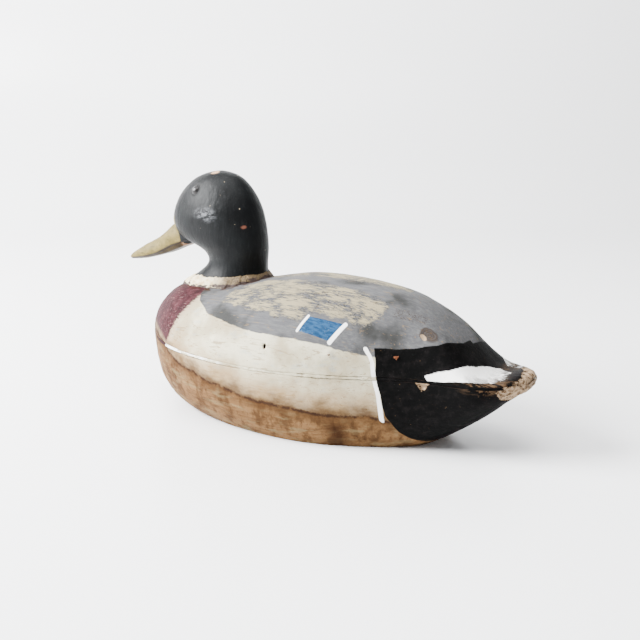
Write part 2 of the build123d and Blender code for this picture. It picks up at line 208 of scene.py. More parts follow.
def new_piece(name, verts, faces, smooth=True):
    mesh = bpy.data.meshes.new(name)
    mesh.from_pydata((np.asarray(verts) * MM).tolist(), [], faces)
    mesh.validate()
    mesh.update()
    ob = bpy.data.objects.new(name, mesh)
    bpy.context.scene.collection.objects.link(ob)
    if smooth:
        mesh.polygons.foreach_set("use_smooth", [True] * len(mesh.polygons))
    return ob


def grid_faces(rows, columns, wrap=False, close=False):
    """Quads over a grid. wrap joins the last column to the first, close the last row to the first."""
    across = columns if wrap else columns - 1
    down = rows if close else rows - 1
    return [(r * columns + c, r * columns + (c + 1) % columns, (r + 1) % rows * columns + (c + 1) % columns,
             (r + 1) % rows * columns + c) for r in range(down) for c in range(across)]


def weld(ob, distance):
    bm = bmesh.new()
    bm.from_mesh(ob.data)
    bmesh.ops.remove_doubles(bm, verts=bm.verts, dist=distance * MM)
    bmesh.ops.dissolve_degenerate(bm, edges=bm.edges, dist=distance * MM * 0.1)
    bmesh.ops.recalc_face_normals(bm, faces=bm.faces)
    bm.to_mesh(ob.data)
    bm.free()
    ob.data.polygons.foreach_set("use_smooth", [True] * len(ob.data.polygons))


def plank(name, upper):
    """One plank's outer skin, turned in at its lips and closed across the seam."""
    lip = SEAM + (0.9 if upper else -0.9)
    count = 118 if upper else 128
    tuck = 3.0
    rows = []
    for k, row in enumerate(HULL):
        if row[1] < 1.6 or (row[2] < lip + 1.2 if upper else row[3] > lip - 1.2):
            continue
        y, z = half_girth(k, lip, upper, count)
        left = np.stack([np.full(count, row[0]), y, z], 1)
        inner = left[0] + [0, -min(tuck, left[0][1] * 0.8), 0]
        right = (left * [1, -1, 1])[::-1][1:]
        rows.append(np.vstack([inner, left, right, inner * [1, -1, 1]]))
    columns = len(rows[0])
    verts = np.vstack(rows)
    faces = grid_faces(len(rows), columns)
    faces += [((r + 1) * columns, (r + 1) * columns + columns - 1, r * columns + columns - 1, r * columns)
              for r in range(len(rows) - 1)]
    for r in (0, len(rows) - 1):
        ends = [r * columns + c for c in range(columns)]
        faces.append(ends if r else ends[::-1])
    ob = new_piece(name, verts, faces)
    weld(ob, 0.002)
    return ob


def points_of(ob):
    p = np.empty(len(ob.data.vertices) * 3)
    ob.data.vertices.foreach_get("co", p)
    return p.reshape(-1, 3) / MM


def normals_of(ob):
    n = np.empty(len(ob.data.vertices) * 3)
    ob.data.vertex_normals.foreach_get("vector", n)
    return n.reshape(-1, 3)


def set_points(ob, p):
    ob.data.vertices.foreach_set("co", (p * MM).ravel())
    ob.data.update()


def set_field(ob, name, values):
    layer = ob.data.attributes.new(name, "FLOAT", "POINT")
    layer.data.foreach_set("value", np.asarray(values, dtype=np.float32))


def carve(ob, cutter):
    """Cuts the cutter's shape out of a piece and deletes the cutter."""
    mod = ob.modifiers.new("cut", "BOOLEAN")
    mod.operation, mod.solver, mod.object = "DIFFERENCE", "EXACT", cutter
    bpy.context.view_layer.update()
    shaped = bpy.data.meshes.new_from_object(ob.evaluated_get(bpy.context.evaluated_depsgraph_get()))
    ob.modifiers.remove(mod)
    ob.data = shaped
    bpy.data.objects.remove(cutter)


# ---- Paint zones of the body, as distances over its surface in millimetres -----------------------
BREAST_G = [0, 30, 39, 51, 62, 72, 82, 90, 97, 112]
BREAST_X = [78, 85, 91, 94, 98, 103, 109, 118, 124, 128]
BAND_X = [-95, -72, -56, -33, -10, 17, 40, 67, 78, 89, 95]
BAND_G = [70, 76, 81, 85, 88, 88, 82, 70, 62, 53, 42]
WING = [(64, 56), (46, 62), (26, 68), (6, 72), (-11, 72), (-21, 69), (-24, 62), (-54, 56), (-58, 59),
        (-68, 56), (-76, 44), (-79, 30), (-66, 24), (-34, 22), (6, 20), (40, 16), (66, 34)]
SPECULUM = [(-26.5, 65), (-54.5, 61), (-46.5, 78), (-22.5, 79)]
STRIPS = [[(-25.5, 64.5), (-21.2, 79.3)], [(-55.3, 60.5), (-47.3, 79)]]
RUMP_FRONT = [(-79, 67), (-80.7, 76), (-81.4, 85), (-83, 93), (-85, 100), (-86.3, 108), (-88, 115),
              (-92, 120), (-96, 125), (-103, 128.5), (-121, 131), (-132, 150), (-230, 150)]
RUMP = [(-230, -10), (-135, -10), (-133, 12), (-131, 18), (-122, 34), (-106, 50), (-93, 59)] + RUMP_FRONT
RUMP_FAR = [(-230, -10), (-136, -10), (-137, 24), (-127, 38), (-108, 52), (-93, 60)] + RUMP_FRONT
WHITE_LINE = [(-73.5, 71), (-77, 74.5), (-79, 78), (-80, 86.5), (-81.7, 94), (-83.4, 100.5), (-84.6, 110),
              (-85.2, 121)]
# across the top of the tail: the distance over the back counts negative on the bird's right
STREAK = [(-116, 62.5), (-129, 48.5), (-139, 35.6), (-146.5, 19), (-151, 4), (-157, -6), (-167, -4),
          (-172, 20), (-163, 27), (-153, 35.5), (-138, 47.5), (-119, 65)]
STREAK_FAR = [(-119, -63), (-134, -50), (-148, -36), (-158, -19), (-171, -16), (-168, -26), (-155, -38),
              (-137, -53)]
TIP_G = [-60, -30, -15, -2, 15, 24, 32, 36, 45, 60]
TIP_X = [-173, -171, -170, -177, -180, -177, -172, -168, -172, -176]
CHIP = [(-108.5, 72.5), (-114, 67.5), (-120.5, 64.5), (-118, 71), (-114.6, 77.5), (-112, 75)]
WATER_X = [-185, -120, -91, -75, -56, -33, -11, 14, 35, 56, 77, 97, 112, 124, 140, 181]
WATER_Z = [24, 25, 26, 29, 29, 30, 32, 35, 38.5, 42, 46, 50, 55, 61, 65, 67]
CRACKS = [
    [(30, 42), (28, 33), (25, 22)],
    [(-19, 41), (-24, 36), (-29, 33)],
    [(-60, 100), (-20, 96), (-24, 97)],
]
FILLED_NAILS, NAIL_Z = (-48, 52, 100), 78
KNOT, KNOT_CHIP, SMUDGE, NAIL_HOLE = (-113, 33), (-110.5, 37.5), [(-88, 32), (-104, 25)], (2.5, 97.5)


def body_fields(ob):
    """Stores the paint zones on a plank, then gives it the dents, chips and cracks that go with them."""
    p = points_of(ob)
    g = girth_at(p)
    x, z = p[:, 0], p[:, 2]
    left = p[:, 1] > 0
    signed = np.where(left, g, -g)
    wander = noise3(p, 9, 3) * 1.3 + noise3(p, 3.2, 4) * 0.5
    fields = {
        "breast": x - np.interp(g, BREAST_G, BREAST_X) + wander,
        "band": np.where(x > 95, -20, np.interp(x, BAND_X, BAND_G) - g + wander * 0.7),
        "wing": np.maximum(to_shape(x, signed, WING), to_shape(x, 22 - signed, WING)) + wander * 1.2,
        "speculum": to_shape(x, g, SPECULUM),
        "strips": np.maximum(1.0 - to_line(x, g, STRIPS[0]), 1.5 - to_line(x, g, STRIPS[1])),
        "rump": np.where(left, to_shape(x, g, RUMP), to_shape(x, g, RUMP_FAR)) + wander * 0.3,
        "white_line": 1.6 - to_line(x, g, WHITE_LINE) + wander * 0.15,
        "streak": np.maximum(to_shape(x, signed, STREAK), to_shape(x, signed, STREAK_FAR)) + wander * 0.4,
        "smudge": np.where(left, to_line(x, g, SMUDGE), 40),
        "shade": np.exp(-((x + 51) / (9 + noise3(p, 12, 13) * 3)) ** 2) * step(30 - z, 0, 14),
        "water": z - np.interp(x, WATER_X, WATER_Z) + noise3(p, 14, 5) * 1.5 + noise3(p, 4, 6) * 0.8,
        "seam": np.abs(z - SEAM),
        "girth": g,
    }
    tip = np.interp(signed, TIP_G, TIP_X) - x + noise3(p, 5, 7) * 1.6
    fields["tip"] = tip
    fields["chip"] = np.where(left, to_shape(x, g, CHIP) + wander * 0.3, -9)
    crack = np.full(len(p), 9.0)
    for line in CRACKS[:2]:
        crack = np.minimum(crack, np.where(left, to_line(x, g, line), 9))
    fields["crack"] = crack + np.abs(noise3(p, 2.5, 9)) * 0.4
    along, across = (x - KNOT[0]) * 0.76 + (g - KNOT[1]) * 0.65, (g - KNOT[1]) * 0.76 - (x - KNOT[0]) * 0.65
    fields["knot"] = np.where(left, np.hypot(along, across * 1.5) + noise3(p, 3, 14) * 0.9, 40)
    chip = np.hypot(x - KNOT_CHIP[0], g - KNOT_CHIP[1]) + noise3(p, 1.6, 15) * 0.8
    fields["knot_chip"] = np.where(left, chip, 40)
    fields["hole"] = np.where(left, np.hypot((x - NAIL_HOLE[0]) * 1.35, (g - NAIL_HOLE[1]) * 0.72), 40)
    for name, values in fields.items():
        set_field(ob, name, values)

    flat = z < 0.4
    push = noise3(p, (30, 16, 16), 1) * 0.45 + noise3(p, (9, 6, 6), 2) * 0.16
    push += noise3(p, (16, 1.6, 1.6), 10) * 0.10 * step(-fields["water"], -2, 4)
    push += noise3(p, (5, 1.8, 1.8), 11) * 0.05
    push -= 0.30 * np.exp(-((fields["water"] + 0.6) / 1.5) ** 2)
    push -= 1.0 * np.exp(-(crack / 0.7) ** 2)
    push -= 1.7 * step(-fields["hole"], -2.0, -0.9)
    push -= 0.9 * step(fields["chip"], 0.0, 1.2)
    push -= (0.8 + noise3(p, 2.2, 12) * 0.5) * step(tip, -0.5, 1.5)
    push += 0.35 * np.exp(-((fields["knot"] - 6.5) / 1.6) ** 2) - 0.5 * step(-fields["knot_chip"], -2.4, -1.2)
    push -= 0.35 * np.exp(-((np.abs(z - SEAM) - 0.9) / 0.55) ** 2)
    for nail_x in FILLED_NAILS:
        push += 0.8 * np.exp(-((np.hypot(x - nail_x, z - NAIL_Z)) / 3.2) ** 2)
    push = np.where(flat, 0, push)
    p = p + normals_of(ob) * push[:, None]
    p[:, 2] = np.where(flat, np.maximum(p[:, 2], 0), np.maximum(p[:, 2], 0.02))
    set_points(ob, p)


upper = plank("upper_plank", True)
lower = plank("lower_plank", False)


def rounded_box(name, low, high, radius, side_steps=8):
    """A closed upright block with round corners."""
    outline = []
    for cx, cy, start in ((high[0] - radius, high[1] - radius, 0), (low[0] + radius, high[1] - radius, 90),
                          (low[0] + radius, low[1] + radius, 180), (high[0] - radius, low[1] + radius, 270)):
        for k in range(side_steps + 1):
            a = math.radians(start + 90 * k / side_steps)
            outline.append((cx + radius * math.cos(a), cy + radius * math.sin(a)))
    n = len(outline)
    verts = [(a, b, low[2]) for a, b in outline] + [(a, b, high[2]) for a, b in outline]
    faces = [(k, (k + 1) % n, n + (k + 1) % n, n + k) for k in range(n)]
    return new_piece(name, verts, faces + [tuple(range(n))[::-1], tuple(range(n, 2 * n))], smooth=False)


ballast = np.array(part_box("ballast_weight")) / MM
ring = np.array(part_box("line_ring")) / MM
carve(lower, rounded_box("ballast_cut", (ballast[0][0], ballast[0][1], -2), tuple(ballast[1]), 5))
middle = (ring[0] + ring[1]) / 2
recess = (ring[1][0] - ring[0][0]) / 2 + 3.5
carve(lower, rounded_box("ring_cut", (middle[0] - recess, middle[1] - recess, -2),
                         (middle[0] + recess, middle[1] + recess, 7.0), recess - 0.01, 16))
for piece in (upper, lower):
    body_fields(piece)
    piece.data.polygons.foreach_set("use_smooth", [True] * len(piece.data.polygons))


# ---- The bead in the seam -------------------------------------------------------------------------
def seam_bead():
    rows, arc = [], 9
    wide = [station for station in HULL if station[1] > 3.2]
    for sign in (1, -1):
        for x, w, _, _ in (wide if sign > 0 else wide[::-1]):
            for k in range(arc):
                a = math.radians(-90 + 180 * k / (arc - 1))
                rows.append((x, sign * max(w - 0.42 + 0.3 * math.cos(a), 0.0), SEAM + 1.15 * math.sin(a)))
            rows.append((x, sign * max(w - 2.6, 0.0), SEAM + 1.15))
            rows.append((x, sign * max(w - 2.6, 0.0), SEAM - 1.15))
    columns = arc + 2
    ob = new_piece("seam_bead", rows, grid_faces(len(rows) // columns, columns, wrap=True, close=True))
    weld(ob, 0.03)
    p = points_of(ob)
    g = girth_at(p)
    wander = noise3(p, 3.2, 4) * 0.5
    set_field(ob, "breast", p[:, 0] - np.interp(g, BREAST_G, BREAST_X) + wander)
    set_field(ob, "rump", to_shape(p[:, 0], g, RUMP) + wander)
    set_field(ob, "tip", -172 - p[:, 0] + wander)
    push = noise3(p, (4, 2, 2), 21) * 0.16 + noise3(p, (1.5, 1, 1), 22) * 0.08
    push -= 0.35 * step(noise3(p, (7, 9, 9), 23), 0.25, 0.5)
    set_points(ob, p + normals_of(ob) * push[:, None])
    return ob


bead = seam_bead()


# ==================================================================================================
# The head with its bill, and the putty round its foot
# ==================================================================================================
def head_blank():
    n = 160
    rows = []
    for z, back, front, widest, half in lofted(HEAD, 220):
        for k in range(n):
            a = 2 * math.pi * k / n
            reach = (front - widest) if math.cos(a) > 0 else (widest - back)
            rows.append((widest + reach * math.cos(a), half * math.sin(a), z))
    count = len(rows) // n
    return new_piece("head_carving", rows, grid_faces(count, n, wrap=True) + [
        tuple(range(n))[::-1], tuple(range((count - 1) * n, count * n))])


def bill_blank():
    rows = []
    for x, ridge, edge, keel, half in lofted(BILL, 150):
        a = np.linspace(math.pi / 2, 0, 40)
        top = np.stack([half * np.cos(a) ** 0.86, edge + (ridge - edge) * np.sin(a) ** 0.92], 1)
        deep = max(edge - keel, 0.6)
        under = np.array([
            (half - 0.15, edge - 0.45), (half * 0.86, edge - 0.9), (half * 0.74, edge - 0.35 * deep - 0.6),
            (half * 0.66, keel + 0.12 * deep), (half * 0.55, keel), (half * 0.25, keel),
        ])
        one = np.vstack([top, under])
        ring_yz = np.vstack([one, (one * [-1, 1])[::-1][:-1]])
        rows.append(np.column_stack([np.full(len(ring_yz), x), ring_yz]))
    n = len(rows[0])
    return new_piece("bill_blank", np.vstack(rows), grid_faces(len(rows), n, wrap=True) + [
        tuple(range(n)), tuple(range((len(rows) - 1) * n, len(rows) * n))[::-1]])


def remeshed(ob, voxel, smoothing):
    """The piece as one skin of even facets, softened."""
    mod = ob.modifiers.new("skin", "REMESH")
    mod.mode, mod.voxel_size = "VOXEL", voxel * MM
    soft = ob.modifiers.new("soft", "SMOOTH")
    soft.factor, soft.iterations = 0.5, smoothing
    bpy.context.view_layer.update()
    mesh = bpy.data.meshes.new_from_object(ob.evaluated_get(bpy.context.evaluated_depsgraph_get()))
    ob.modifiers.clear()
    ob.data = mesh
    mesh.polygons.foreach_set("use_smooth", [True] * len(mesh.polygons))


head, bill = head_blank(), bill_blank()
weld(head, 0.02)
weld(bill, 0.02)
with bpy.context.temp_override(active_object=head, object=head, selected_editable_objects=[head, bill],
                               selected_objects=[head, bill]):
    bpy.ops.object.join()
remeshed(head, 0.75, 4)


def head_fields():
    p = points_of(head)
    x, y, z = p.T
    half = np.abs(y)
    wander = noise3(p, 5, 31) * 0.35 + noise3(p, 2, 32) * 0.2
    bill_line = 156 - 0.072 * np.minimum(half, 13) ** 2
    bill_line = bill_line - np.clip(161 - z, -4, 20) * 0.2 - 7 * step(143 - z, 0, 7)
    bill_zone = np.where(z < 165, x - bill_line, -9) + wander
    edge = np.interp(x, BILL[:, 0], BILL[:, 2])
    lower_jaw = np.where(x > 128, edge - 0.3 - z, -9)
    chin = np.where(x > 128, 139.6 - z, -9) + wander
    set_field(head, "bill", bill_zone)
    set_field(head, "jaw", lower_jaw)
    set_field(head, "chin", np.where(bill_zone > -3, 3, chin))
    along = np.array([math.cos(math.radians(33)), 0, -math.sin(math.radians(33))])
    push = noise3(p, 16, 33) * 0.35 + noise3(p, 5, 34) * 0.10 + noise3(p, (1.6, 1.6, 9), 35) * 0.05
    hole = np.full(len(p), 9.0)
    lid = np.full(len(p), 40.0)
    for side in (1, -1):
        d = p - NOSTRIL * [1, side, 1]
        a = d @ along
        off = np.sqrt(np.maximum((d**2).sum(1) - a**2, 0))
        hole = np.minimum(hole, np.maximum(off - 0.5, (np.abs(a) - 3.0) * 0.8 + off * 0.2))
        lid = np.minimum(lid, np.sqrt(((p - EYE * [1, side, 1]) ** 2).sum(1)))
    set_field(head, "nostril", hole)
    set_field(head, "lid", lid)
    set_field(head, "crown_spot", np.sqrt((((p - [104, 7, 205]) / [1, 1.1, 0.8]) ** 2).sum(1)) + wander * 4)
    set_field(head, "neck_spot", np.sqrt((((p - [67, 16.6, 160]) / [1, 1, 0.55]) ** 2).sum(1)) + wander * 3)
    # The pale patch on the left cheek is a painted highlight, streaked like wear.
    set_field(head, "wear_and_sheen", np.sqrt((((p - [99, 27, 170]) / [1.5, 1, 0.8]) ** 2).sum(1)) + wander * 4)
    push -= 1.2 * step(-hole, -1.1, -0.1)
    push -= 0.6 * np.exp(-((lid - 4.6) / 0.7) ** 2)
    push -= 0.5 * step(-lower_jaw, -1.2, -0.2) * step(lower_jaw, -0.9, 0.1) * step(x, 150, 156)
    push -= 0.35 * np.exp(-(bill_zone / 0.8) ** 2)
    set_points(head, p + normals_of(head) * push[:, None])


head_fields()


def egg_point(a, z, grow):
    row = [np.interp(z, HEAD[:, 0], HEAD[:, k]) for k in range(1, 5)]
    back, front, widest, half = row
    reach = (front - widest if math.cos(a) > 0 else widest - back) + grow
    return widest + reach * math.cos(a), (half + grow) * math.sin(a)


def neck_ring():
    around, across = 420, 22
    rows = []
    for k in range(around):
        a = 2 * math.pi * k / around
        front_share = step(math.cos(a), -0.4, 0.9)
        foot = np.array([[*egg_point(a, 104, 6), 0]])
        wobble = noise3(foot, 7, 41)[0] * 1.1 + noise3(foot, 2.6, 42)[0] * 0.6
        top = 116.2 - (foot[0][0] - 95) * math.tan(math.radians(4)) + wobble * 0.8 + 1.2 * front_share
        ragged = noise3(foot, 5, 43)[0] * 1.0 + noise3(foot, 1.8, 44)[0] * 0.6
        low_x, low_y = egg_point(a, 104, 3.2 + 1.3 * front_share + ragged)
        low = back_height(low_x, low_y)
        for j in range(across):
            v = j / (across - 1)
            if v < 0.2:
                t = v / 0.2
                hx, hy = egg_point(a, top - 2.5 * (1 - t), -0.8 + 1.6 * t)
                rows.append((hx, hy, top - 2.5 * (1 - t)))
            else:
                t = (v - 0.2) / 0.8
                z = top + (low - 1.0 - top) * t
                hx, hy = egg_point(a, z, 0.8)
                bulge = math.sin(math.pi * t) * 0.5
                share = t**1.2
                nx, ny = math.cos(a), math.sin(a)
                out_x = hx + (low_x - hx) * share + nx * bulge
                out_y = hy + (low_y - hy) * share + ny * bulge
                rows.append((out_x, out_y, z))
    ob = new_piece("neck_putty_ring", rows, grid_faces(around, across, wrap=True, close=True))
    weld(ob, 0.02)
    p = points_of(ob)
    push = noise3(p, 3.2, 45) * 0.32 + noise3(p, 1.3, 46) * 0.18
    cracks = np.abs(noise3(p, (7, 7, 2.4), 47))
    set_field(ob, "cracks", cracks)
    foot = p[:, 2] - back_height(p[:, 0], p[:, 1])
    set_field(ob, "foot", foot)
    set_field(ob, "front", p[:, 0])
    push -= 0.3 * np.exp(-(cracks / 0.05) ** 2)
    set_points(ob, p + normals_of(ob) * push[:, None])
    return ob


putty = neck_ring()


def near_neck(ob):
    """How far each point of the back lies outside the putty's foot."""
    p = points_of(ob)
    a = np.arctan2(p[:, 1] / 31.5, (p[:, 0] - 93) / np.where(p[:, 0] > 93, 46, 36.5))
    reach = np.where(np.cos(a) > 0, 45.0, 35.5) + 4
    edge_x, edge_y = 93 + reach * np.cos(a), 34.8 * np.sin(a)
    return np.hypot(p[:, 0] - 93, p[:, 1]) - np.hypot(edge_x - 93, edge_y)


set_field(upper, "neck", near_neck(upper))
set_field(lower, "neck", np.full(len(lower.data.vertices), 60.0))

# ==================================================================================================
# Materials
# ==================================================================================================
def colour(r, g, b):
    return (*[(c / 255 / 12.92 if c <= 10 else ((c / 255 + 0.055) / 1.055) ** 2.4) for c in (r, g, b)], 1.0)


CREAM, CREAM_GREY, CREAM_WORN = colour(194, 188, 163), colour(156, 145, 119), colour(119, 98, 71)
CREAM_BLUE, SPECK = colour(148, 158, 157), colour(50, 38, 28)
WHITE, WHITE_WORN = colour(247, 246, 243), colour(214, 204, 188)
TAN_PAINT, BROWN_PAINT = colour(137, 108, 71), colour(68, 46, 26)
TIDE, STAIN_AND_SHADE = colour(40, 25, 17), colour(41, 21, 8)
BARE_LIGHT, BARE_DARK = colour(114, 85, 55), colour(71, 48, 27)
BARE_BROWN, BARE_PALE = colour(51, 30, 13), colour(120, 105, 75)
PLUM, PLUM_DARK, PLUM_PALE = colour(65, 35, 39), colour(40, 21, 24), colour(123, 92, 89)
GREY, GREY_PALE, GREY_DARK = colour(76, 76, 78), colour(90, 90, 90), colour(49, 49, 48)
WING_CREAM, WING_WORN, KNOT_BROWN = colour(137, 127, 102), colour(77, 61, 42), colour(45, 33, 23)
BLUE, BLUE_DARK, BLUE_WORN = colour(40, 73, 106), colour(21, 50, 79), colour(97, 114, 129)
BLACK, BLACK_WORN, BROWN_BLACK = colour(4, 4, 4), colour(15, 13, 13), colour(8, 4, 4)
RAW, RAW_DARK = colour(153, 130, 104), colour(78, 60, 43)


class Paint:
    """A material's node tree, built from short calls."""

    def __init__(self, name):
        self.mat = bpy.data.materials.new(name)
        self.mat.use_nodes = True
        self.tree = self.mat.node_tree
        self.tree.nodes.clear()
        self.out = self.add("ShaderNodeOutputMaterial")
        self.bsdf = self.add("ShaderNodeBsdfPrincipled")
        self.tree.links.new(self.bsdf.outputs[0], self.out.inputs[0])
        coords = self.add("ShaderNodeTexCoord")
        scale = self.add("ShaderNodeVectorMath", operation="SCALE")
        self.tree.links.new(coords.outputs["Object"], scale.inputs[0])
        scale.inputs["Scale"].default_value = 1000.0
        self.mm = scale.outputs[0]

    def add(self, kind, **settings):
        node = self.tree.nodes.new(kind)
        for key, value in settings.items():
            setattr(node, key, value)
        return node

    def put(self, socket, value):
        if isinstance(value, bpy.types.NodeSocket):
            self.tree.links.new(value, socket)
        else:
            socket.default_value = value

    def field(self, name):
        return self.add("ShaderNodeAttribute", attribute_name=name).outputs["Fac"]

    def stretched(self, size):
        """Coordinates in units of size millimetres, one number for each axis."""
        node = self.add("ShaderNodeVectorMath", operation="MULTIPLY")
        self.put(node.inputs[0], self.mm)
        node.inputs[1].default_value = tuple(1 / s for s in size)
        return node.outputs[0]

    def noise(self, size, detail=3.0, rough=0.55, warp=0.0):
        node = self.add("ShaderNodeTexNoise")
        size = size if isinstance(size, tuple) else (size, size, size)
        self.put(node.inputs["Vector"], self.stretched(size))
        node.inputs["Scale"].default_value = 1.0
        node.inputs["Detail"].default_value = detail
        node.inputs["Roughness"].default_value = rough
        node.inputs["Distortion"].default_value = warp
        return node.outputs["Fac"]

    def spots(self, size, feature="F1"):
        node = self.add("ShaderNodeTexVoronoi", feature=feature)
        size = size if isinstance(size, tuple) else (size, size, size)
        self.put(node.inputs["Vector"], self.stretched(size))
        node.inputs["Scale"].default_value = 1.0
        return node.outputs["Distance"]

    def times(self, a, b):
        return self.math("MULTIPLY", a, b)

    def plus(self, a, b):
        return self.math("ADD", a, b)

    def math(self, operation, a, b=0.0):
        node = self.add("ShaderNodeMath", operation=operation)
        self.put(node.inputs[0], a)
        self.put(node.inputs[1], b)
        return node.outputs[0]

    def over(self, value, low, high):
        """0 below low, 1 above high, smooth between."""
        node = self.add("ShaderNodeMapRange", interpolation_type="SMOOTHSTEP")
        self.put(node.inputs["Value"], value)
        node.inputs["From Min"].default_value = low
        node.inputs["From Max"].default_value = high
        return node.outputs["Result"]

    def between(self, value, low, high, soft):
        return self.math("MULTIPLY", self.over(value, low - soft, low + soft),
                         self.math("SUBTRACT", 1.0, self.over(value, high - soft, high + soft)))

    def mix(self, share, a, b):
        node = self.add("ShaderNodeMix", data_type="RGBA")
        self.put(node.inputs[0], share)
        self.put(node.inputs[6], a)
        self.put(node.inputs[7], b)
        return node.outputs[2]

    def blend(self, share, a, b):
        node = self.add("ShaderNodeMix", data_type="FLOAT")
        self.put(node.inputs[0], share)
        self.put(node.inputs[2], a)
        self.put(node.inputs[3], b)
        return node.outputs[0]

    def bump(self, height, distance, strength=1.0):
        node = self.add("ShaderNodeBump")
        node.inputs["Strength"].default_value = strength
        node.inputs["Distance"].default_value = distance * MM
        self.put(node.inputs["Height"], height)
        self.put(self.bsdf.inputs["Normal"], node.outputs[0])

    def done(self, base, rough, **constants):
        self.put(self.bsdf.inputs["Base Color"], base)
        self.put(self.bsdf.inputs["Roughness"], rough)
        for key, value in constants.items():
            self.bsdf.inputs[key.replace("_", " ")].default_value = value
        return self.mat


def wood(m, light, dark):
    """Bare weathered wood with its grain along X."""
    fine, broad = m.noise((24, 1.6, 1.6), 4, 0.6), m.noise((34, 12, 12), 3, 0.55, 0.4)
    return m.mix(m.over(m.plus(m.times(fine, 0.4), m.times(broad, 0.6)), 0.36, 0.68), light, dark)


def stain(m, base, share, amount, tone):
    return m.mix(m.times(share, amount), base, tone)


